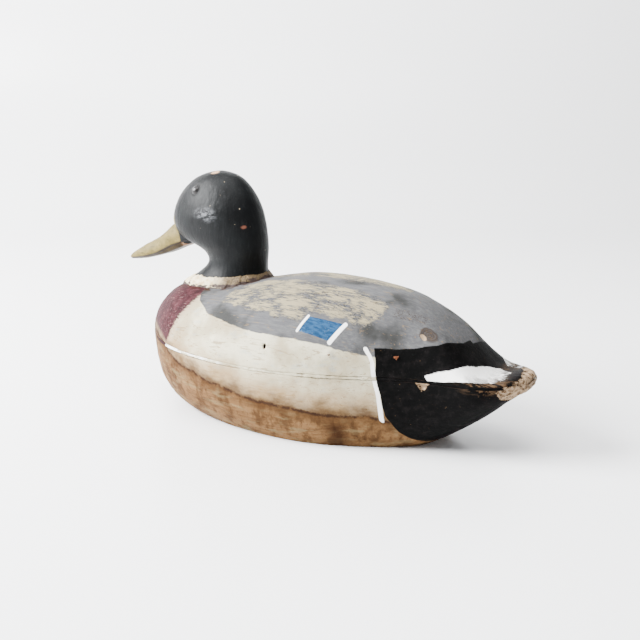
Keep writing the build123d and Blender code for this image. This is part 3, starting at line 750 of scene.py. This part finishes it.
def body_paint(name, planks=True):
    m = Paint(name)
    fine, mid, big = m.noise(1.6, 4, 0.65), m.noise(6, 4, 0.6), m.noise(28, 3, 0.5)
    drag = m.noise((14, 1.5, 1.5), 4, 0.6, 0.4)
    wear_and_sheen = m.plus(m.times(fine, 0.5), m.times(mid, 0.5))
    pits = m.over(m.spots((3.4, 2.6, 2.6)), 0.15, 0.06)

    cream = m.mix(m.over(big, 0.38, 0.66), CREAM, CREAM_GREY)
    cream = stain(m, cream, m.over(wear_and_sheen, 0.55, 0.72), 0.5, CREAM_WORN)
    cream = stain(m, cream, m.over(m.noise((30, 2.2, 2.2), 4, 0.65, 0.8), 0.57, 0.64), 0.6, CREAM_WORN)
    cream = stain(m, cream, m.over(m.noise((9, 2.4, 2.4), 5, 0.72, 1.5), 0.64, 0.69), 0.7, SPECK)
    cream = stain(m, cream, m.over(m.noise((18, 7, 7), 3, 0.6), 0.56, 0.68), 0.35, CREAM_BLUE)
    specks = m.times(m.over(m.spots(4.5), 0.15, 0.06), m.over(mid, 0.5, 0.62))
    cream = stain(m, cream, specks, 0.8, SPECK)
    white = m.mix(m.over(wear_and_sheen, 0.56, 0.72), WHITE, WHITE_WORN)

    if not planks:
        # white putty shows towards the breast; further back it is painted over with the rest
        front = m.over(m.field("breast"), -90.0, -66.0)
        base = m.mix(m.times(front, m.over(m.noise((16, 4, 4), 3, 0.6), 0.40, 0.54)), cream, white)
        base = m.mix(m.over(m.field("breast"), -1, 1), base, PLUM_DARK)
    else:
        water, breast = m.field("water"), m.field("breast")
        # the sides turn tan from the seam down to the waterline
        creep = m.plus(water, m.times(m.math("SUBTRACT", m.noise((18, 9, 9), 4, 0.6), 0.5), 26.0))
        cream = stain(m, cream, m.over(creep, 34.0, 8.0), 0.7, TAN_PAINT)
        cream = stain(m, cream, m.over(creep, 14.0, -1.0), 0.85, BROWN_PAINT)
        bare = wood(m, BARE_LIGHT, BARE_DARK)
        bare = stain(m, bare, m.over(m.noise((9, 9, 20), 4, 0.62), 0.46, 0.64), 0.7, BARE_BROWN)
        bare = stain(m, bare, m.over(m.noise((2.5, 2.5, 9), 4, 0.7), 0.52, 0.66), 0.4, BARE_BROWN)
        bare = stain(m, bare, m.over(m.noise((20, 20, 6), 3, 0.6), 0.50, 0.66), 0.45, BARE_PALE)
        bare = stain(m, bare, pits, 0.8, SPECK)
        bare = stain(m, bare, m.field("shade"), 0.8, STAIN_AND_SHADE)
        below = m.plus(water, m.times(m.math("SUBTRACT", mid, 0.5), 12.0))
        bare = stain(m, bare, m.over(below, -12.0, -1.0), 0.7, BROWN_PAINT)
        edge = m.plus(water, m.times(m.math("SUBTRACT", fine, 0.5), 3.5))
        base = m.mix(m.over(edge, 0.9, -0.9), cream, bare)
        base = stain(m, base, m.times(m.between(edge, -1.8, 0.8, 1.1), m.over(mid, 0.32, 0.52)), 0.9, TIDE)

        plum = m.mix(m.over(mid, 0.35, 0.7), PLUM_DARK, PLUM)
        plum = stain(m, plum, m.over(drag, 0.54, 0.7), 0.5, PLUM_PALE)
        brushed = m.plus(breast, m.times(m.math("SUBTRACT", drag, 0.5), 12.0))
        base = stain(m, base, m.times(m.over(brushed, -7.0, 1.0), m.over(water, 2.0, 10.0)), 0.35, PLUM_PALE)
        base = m.mix(m.times(m.over(brushed, -1.4, 2.2), m.over(water, 1.0, 9.0)), base, plum)

        grey = m.mix(m.over(drag, 0.35, 0.7), GREY, GREY_PALE)
        grey = m.mix(m.over(big, 0.46, 0.7), grey, GREY_DARK)
        grey = stain(m, grey, m.over(m.noise((20, 2.5, 2.5), 4, 0.65, 1.0), 0.60, 0.66), 0.5, CREAM_WORN)
        base = m.mix(m.over(m.field("band"), -0.5, 0.5), base, grey)
        # the wing: cream combed lengthwise over the grey and worn through it
        comb, patch = m.noise((11, 1.7, 1.7), 5, 0.68, 0.9), m.noise((20, 10, 10), 3, 0.6)
        worn = m.plus(m.times(comb, 0.62), m.times(patch, 0.4))
        panel = m.mix(m.over(worn, 0.57, 0.45), m.mix(m.over(fine, 0.45, 0.65), GREY, GREY_DARK), WING_CREAM)
        panel = stain(m, panel, m.over(wear_and_sheen, 0.58, 0.66), 0.55, WING_WORN)
        ragged = m.plus(m.times(m.math("SUBTRACT", comb, 0.5), 16.0),
                        m.times(m.math("SUBTRACT", mid, 0.5), 8.0))
        base = m.mix(m.over(m.plus(m.field("wing"), ragged), -0.9, 0.9), base, panel)

        blue = m.mix(m.over(drag, 0.35, 0.65), BLUE_DARK, BLUE)
        blue = stain(m, blue, m.over(wear_and_sheen, 0.56, 0.66), 0.5, BLUE_WORN)
        base = m.mix(m.over(m.field("speculum"), -0.25, 0.25), base, blue)
        for strip in ("strips", "white_line"):
            base = m.mix(m.over(m.field(strip), -0.25, 0.25), base, white)
        knot = m.field("knot")
        rings = m.add("ShaderNodeMath", operation="SINE")
        m.put(rings.inputs[0], m.times(knot, 3.4))
        base = stain(m, base, m.over(knot, 8.4, 6.6), 0.6, KNOT_BROWN)
        base = stain(m, base, m.times(m.over(rings.outputs[0], 0.1, 0.8), m.over(knot, 8.0, 6.0)), 0.5, SPECK)
        base = m.mix(m.over(m.field("knot_chip"), 2.6, 1.8), base, RAW)
        scraped = m.times(m.over(m.field("smudge"), 6.5, 3.0),
                          m.over(m.noise((4, 1.2, 1.2), 4, 0.7, 2.0), 0.5, 0.6))
        base = stain(m, base, scraped, 0.8, SPECK)
        # Dark brown patches on the back round the putty's foot: partly a crack, partly painted shade under
        # the putty's edge.
        crack_and_shade_at_putty = m.times(m.over(m.field("neck"), 5.5, 0.5), m.over(m.noise((9, 9, 3), 3, 0.6), 0.40, 0.56))
        base = stain(m, base, crack_and_shade_at_putty, 0.9, STAIN_AND_SHADE)

    rump = m.field("rump")
    black = m.mix(m.over(mid, 0.45, 0.75), BLACK, BLACK_WORN)
    nicks = m.times(m.over(m.spots((5, 3, 3)), 0.12, 0.05), m.over(m.noise(12), 0.5, 0.6))
    black = stain(m, black, nicks, 0.8, WING_WORN)
    black = stain(m, black, m.over(m.noise((22, 2.4, 2.4), 5, 0.7, 0.6), 0.64, 0.72), 0.45, KNOT_BROWN)
    base = m.mix(m.over(rump, -0.35, 0.35), base, black)
    raw = m.mix(m.over(m.noise((7, 2, 2), 4, 0.65), 0.4, 0.65), RAW, RAW_DARK)
    raw = m.mix(m.over(m.noise(5, 4, 0.65), 0.56, 0.62), raw, BROWN_BLACK)
    if planks:
        streak = m.plus(m.field("streak"), m.times(m.math("SUBTRACT", drag, 0.5), 2.5))
        tipwards = m.over(m.field("tip"), -27.0, -8.0)
        smeared = m.mix(m.times(tipwards, m.over(m.noise((7, 4, 4), 4, 0.65), 0.42, 0.52)), white, GREY_DARK)
        smeared = m.mix(m.times(tipwards, m.over(m.noise(6, 4, 0.65), 0.50, 0.56)), smeared, BROWN_BLACK)
        base = m.mix(m.over(streak, -0.4, 0.4), base, smeared)
        base = m.mix(m.over(m.field("chip"), -0.3, 0.3), base, raw)
        # Near-black blotches in a band inside the bare tail tip: painted shade of the open gap and broken
        # hollows at the tip.
        tip_gap_shade = m.times(m.between(m.field("tip"), -13.0, 0.5, 2.5),
                      m.over(m.noise((6, 4, 4), 4, 0.7), 0.46, 0.54))
        base = m.mix(tip_gap_shade, base, BROWN_BLACK)
        worn_edge = m.times(m.over(m.field("tip"), -38.0, -8.0), m.over(m.field("seam"), 6.0, 2.0))
        worn_edge = m.times(worn_edge, m.over(m.noise((10, 2, 2), 4, 0.7), 0.46, 0.56))
        base = stain(m, base, worn_edge, 0.8, RAW_DARK)
        lips = m.plus(m.field("seam"), m.times(fine, 0.7))
        front = m.plus(0.25, m.times(m.over(breast, -95.0, -65.0), 0.75))
        dark_lip = m.times(front, m.times(m.over(lips, 2.3, 1.3), m.over(m.noise((16, 6, 6)), 0.34, 0.52)))
        base = stain(m, base, dark_lip, 0.95, TIDE)
        base = m.mix(m.over(m.field("crack"), 0.75, 0.25), base, STAIN_AND_SHADE)
        # The nail hole is painted near-black: painted shade in the hole.
        base = m.mix(m.over(m.field("hole"), 2.2, 1.3), base, BROWN_BLACK)
    tip = m.plus(m.field("tip"), m.times(m.math("SUBTRACT", fine, 0.5), 4.0))
    base = m.mix(m.over(tip, -0.4, 0.6), base, raw)

    m.bump(m.plus(m.times(fine, 0.5), m.times(drag, 0.6)), 0.4)
    rough = m.blend(m.over(rump, -0.3, 0.3), m.blend(wear_and_sheen, 0.5, 0.75), 0.6)
    return m.done(base, rough, Specular_IOR_Level=0.03)


def assign(ob, mat):
    ob.data.materials.clear()
    ob.data.materials.append(mat)


plank_paint = body_paint("plank_paint")
assign(upper, plank_paint)
assign(lower, plank_paint)
assign(bead, body_paint("bead_paint", planks=False))


def head_paint():
    m = Paint("head_paint")
    fine, mid, big = m.noise(1.4, 4, 0.65), m.noise(6, 4, 0.6), m.noise(22, 3, 0.5)
    strokes = m.noise((2.2, 2.2, 12), 4, 0.6, 0.5)
    dark = m.mix(m.over(big, 0.35, 0.7), colour(7, 8, 9), colour(13, 15, 16))
    dark = m.mix(m.times(m.over(strokes, 0.52, 0.72), 0.4), dark, colour(28, 30, 31))
    # A pale grey streaky patch on the left cheek, where the light falls: painted highlight with wear streaks.
    wear_and_sheen = m.times(m.over(m.field("wear_and_sheen"), 10.0, 2.0), m.over(m.noise((5, 5, 2.4), 4, 0.7), 0.42, 0.62))
    dark = m.mix(m.times(wear_and_sheen, 0.6), dark, colour(112, 114, 118))
    raw = m.mix(m.over(fine, 0.4, 0.65), colour(196, 158, 122), colour(142, 106, 78))
    dark = m.mix(m.over(m.field("crown_spot"), 4.2, 2.8), dark, raw)
    dark = m.mix(m.times(m.over(m.field("neck_spot"), 3.4, 1.2), 0.8), dark, colour(116, 72, 58))
    nicks = m.times(m.over(m.spots(8), 0.10, 0.05), m.over(mid, 0.5, 0.6))
    dark = m.mix(nicks, dark, colour(130, 118, 100))

    olive = m.mix(m.over(mid, 0.35, 0.7), colour(92, 81, 42), colour(112, 98, 56))
    olive = m.mix(m.over(m.noise((9, 2, 2), 4, 0.6), 0.55, 0.72), olive, colour(70, 60, 30))
    # The lower mandible is painted darker than the upper, with a dark line just under the upper mandible's
    # edge: painted shade of the overhanging upper mandible.
    jaw = m.mix(m.over(mid, 0.4, 0.7), colour(48, 38, 20), colour(70, 57, 32))
    chin = m.mix(m.over(mid, 0.4, 0.7), colour(112, 82, 58), colour(142, 108, 80))
    beak = m.mix(m.over(m.field("jaw"), -0.3, 0.5), olive, jaw)
    beak = m.mix(m.times(m.between(m.field("jaw"), -0.3, 1.3, 0.4), 0.8), beak, colour(44, 36, 28))
    beak = m.mix(m.over(m.field("nostril"), 0.75, 0.35), beak, colour(40, 34, 26))
    base = m.mix(m.over(m.field("bill"), -0.3, 0.3), dark, beak)
    bare = m.times(m.over(m.field("chin"), -0.4, 0.6), m.over(m.field("jaw"), 0.6, 1.6))
    base = m.mix(m.times(bare, m.over(m.field("bill"), 3.0, -2.0)), base, chin)
    # A near-black ring over the dent round each eye: painted shade in the eye socket.
    base = m.mix(m.over(m.field("lid"), 5.7, 5.0), base, colour(6, 6, 6))
    m.bump(m.plus(m.times(fine, 0.4), m.times(strokes, 0.8)), 0.3)
    return m.done(base, m.blend(mid, 0.38, 0.54), Specular_IOR_Level=0.1)


assign(head, head_paint())


def putty_paint():
    m = Paint("putty_paint")
    fine, mid = m.noise(1.2, 4, 0.65), m.noise(5, 3, 0.6)
    base = m.mix(m.over(mid, 0.35, 0.7), colour(222, 208, 174), colour(178, 152, 106))
    rear = m.over(m.plus(m.field("front"), m.times(mid, 30.0)), 112.0, 88.0)
    base = m.mix(rear, base, m.mix(m.over(fine, 0.4, 0.65), colour(96, 78, 46), colour(52, 37, 20)))
    base = m.mix(m.times(m.over(m.field("cracks"), 0.05, 0.01), m.over(mid, 0.5, 0.6)), base, STAIN_AND_SHADE)
    base = m.mix(m.over(fine, 0.60, 0.68), base, colour(150, 118, 80))
    # A dark brown line along the putty's foot: partly a crack, partly painted shade under the putty's edge.
    low = m.plus(m.field("foot"), m.times(m.math("SUBTRACT", m.noise((7, 7, 2), 4), 0.5), 9.0))
    base = m.mix(m.over(low, 2.3, 1.2), base, STAIN_AND_SHADE)
    m.bump(m.plus(fine, mid), 0.5)
    return m.done(base, 0.75)


assign(putty, putty_paint())


def metal(name, low, high, rust, rusty, rough):
    m = Paint(name)
    fine, mid = m.noise(0.8, 4, 0.65), m.noise(2.6, 4, 0.6)
    base = m.mix(m.over(mid, 0.35, 0.65), low, high)
    worn = m.over(mid, 1 - rusty, 1.15 - rusty)
    base = m.mix(worn, base, m.mix(m.over(fine, 0.4, 0.6), rust, colour(60, 38, 28)))
    m.bump(m.plus(fine, mid), 0.12)
    return m.done(base, m.blend(fine, rough, min(rough + 0.3, 1.0)), Metallic=0.85)


steel = metal("steel_wire", colour(140, 138, 134), colour(168, 166, 160), colour(110, 72, 50), 0.45, 0.35)
iron = metal("rusty_iron", colour(96, 70, 54), colour(74, 52, 42), colour(122, 70, 42), 0.62, 0.6)
brass = metal("tarnished_brass", colour(150, 118, 62), colour(120, 96, 56), colour(84, 86, 60), 0.5, 0.35)
lead = metal("dull_lead", colour(108, 110, 114), colour(88, 90, 94), colour(140, 140, 138), 0.5, 0.55)


def peg_wood():
    m = Paint("peg_wood")
    m.bump(m.noise((1, 1, 14), 4), 0.2)
    return m.done(m.mix(m.noise((1.2, 1.2, 18), 4), colour(206, 172, 124), colour(166, 126, 82)), 0.7)


def eye_glass():
    m = Paint("eye_glass")
    depth = m.noise(2.4, 3)
    m.bump(m.noise(1.5, 2), 0.02)
    return m.done(m.mix(m.over(depth, 0.4, 0.7), colour(8, 8, 9), colour(22, 18, 16)), 0.35,
                  Specular_IOR_Level=0.35)


glass = eye_glass()
for node, mat in {"neck_screw": steel, "neck_washer": steel, "left_eye_wire": steel, "right_eye_wire": steel,
                  "toe_nails": iron, "seam_nails": iron, "line_staple": iron, "ballast_screws": brass,
                  "line_ring": brass, "ballast_weight": lead, "left_eye": glass, "right_eye": glass,
                  "seam_dowels": peg_wood()}.items():
    assign(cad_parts[node], mat)

for piece, node, slot in (
    (upper, "upper_body", "painted_wood"),
    (lower, "lower_body", "weathered_wood"),
    (head, "head", "painted_head"),
    (putty, "neck_putty", "putty"),
    (bead, "seam_caulk", "putty"),
):
    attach(piece, "decoy")
    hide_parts(node)

# ==================================================================================================
# Floor, light and camera
# ==================================================================================================
WALL_SIDE = (0.5240, -0.8517, 0)  # the way from the decoy to the wall behind it
TABLE_FRONT, TABLE_BACK, HALF_WIDTH = -3.0, 1.1, 4.0
CURVE_R, WALL_TOP = 0.5, 3.5
CAMERA_PLACE, CAMERA_TOWARD = (-0.3813, 0.6217, 0.2586), (0.5096, -0.8284, -0.2326)
LENS, SENSOR = 50.0, 36.0
AIR, AIR_STRENGTH = (0.93, 0.94, 0.96, 1), 0.55


def studio_floor():
    """A flat white table that curves up far behind into a wall."""
    toward = Vector(WALL_SIDE).normalized()
    side = Vector((toward.y, -toward.x, 0))
    profile = [(TABLE_FRONT, 0.0), (TABLE_BACK, 0.0)]
    for a in np.radians(range(6, 91, 6)):
        profile.append((TABLE_BACK + CURVE_R * math.sin(a), CURVE_R - CURVE_R * math.cos(a)))
    profile.append((TABLE_BACK + CURVE_R, WALL_TOP))
    edges = (-HALF_WIDTH, HALF_WIDTH)
    verts = [tuple(toward * d + side * s + Vector((0, 0, h))) for d, h in profile for s in edges]
    mesh = bpy.data.meshes.new("studio_floor")
    mesh.from_pydata(verts, [], [(2 * k, 2 * k + 1, 2 * k + 3, 2 * k + 2) for k in range(len(profile) - 1)])
    mesh.polygons.foreach_set("use_smooth", [True] * len(mesh.polygons))
    ob = bpy.data.objects.new("studio_floor", mesh)
    bpy.context.scene.collection.objects.link(ob)
    m = Paint("table_white")
    white = m.mix(m.noise(900, 1), colour(240, 240, 241), colour(243, 243, 243))
    assign(ob, m.done(white, 0.28, Specular_IOR_Level=0.3))


studio_floor()


def area_light(name, place, target, size, power, tint=(1, 1, 1)):
    data = bpy.data.lights.new(name, "AREA")
    data.shape, data.size, data.energy, data.color = "DISK", size, power, tint
    ob = bpy.data.objects.new(name, data)
    ob.location = place
    ob.rotation_euler = (Vector(target) - Vector(place)).to_track_quat("-Z", "Y").to_euler()
    bpy.context.scene.collection.objects.link(ob)


area_light("window", (1.5, 1.1, 1.2), (0, 0, 0.06), 1.4, 330, (0.98, 0.99, 1.0))
area_light("overhead", (0.1, 0.4, 1.9), (0, 0, 0), 1.8, 72)
world = bpy.data.worlds.new("studio_air")
world.use_nodes = True
world.node_tree.nodes["Background"].inputs[0].default_value = AIR
world.node_tree.nodes["Background"].inputs[1].default_value = AIR_STRENGTH
bpy.context.scene.world = world

camera = bpy.data.objects.new("camera", bpy.data.cameras.new("camera"))
camera.data.lens, camera.data.sensor_width, camera.data.sensor_fit = LENS, SENSOR, "HORIZONTAL"
camera.location = CAMERA_PLACE
camera.rotation_euler = Vector(CAMERA_TOWARD).to_track_quat("-Z", "Y").to_euler()
bpy.context.scene.collection.objects.link(camera)
bpy.context.scene.camera = camera
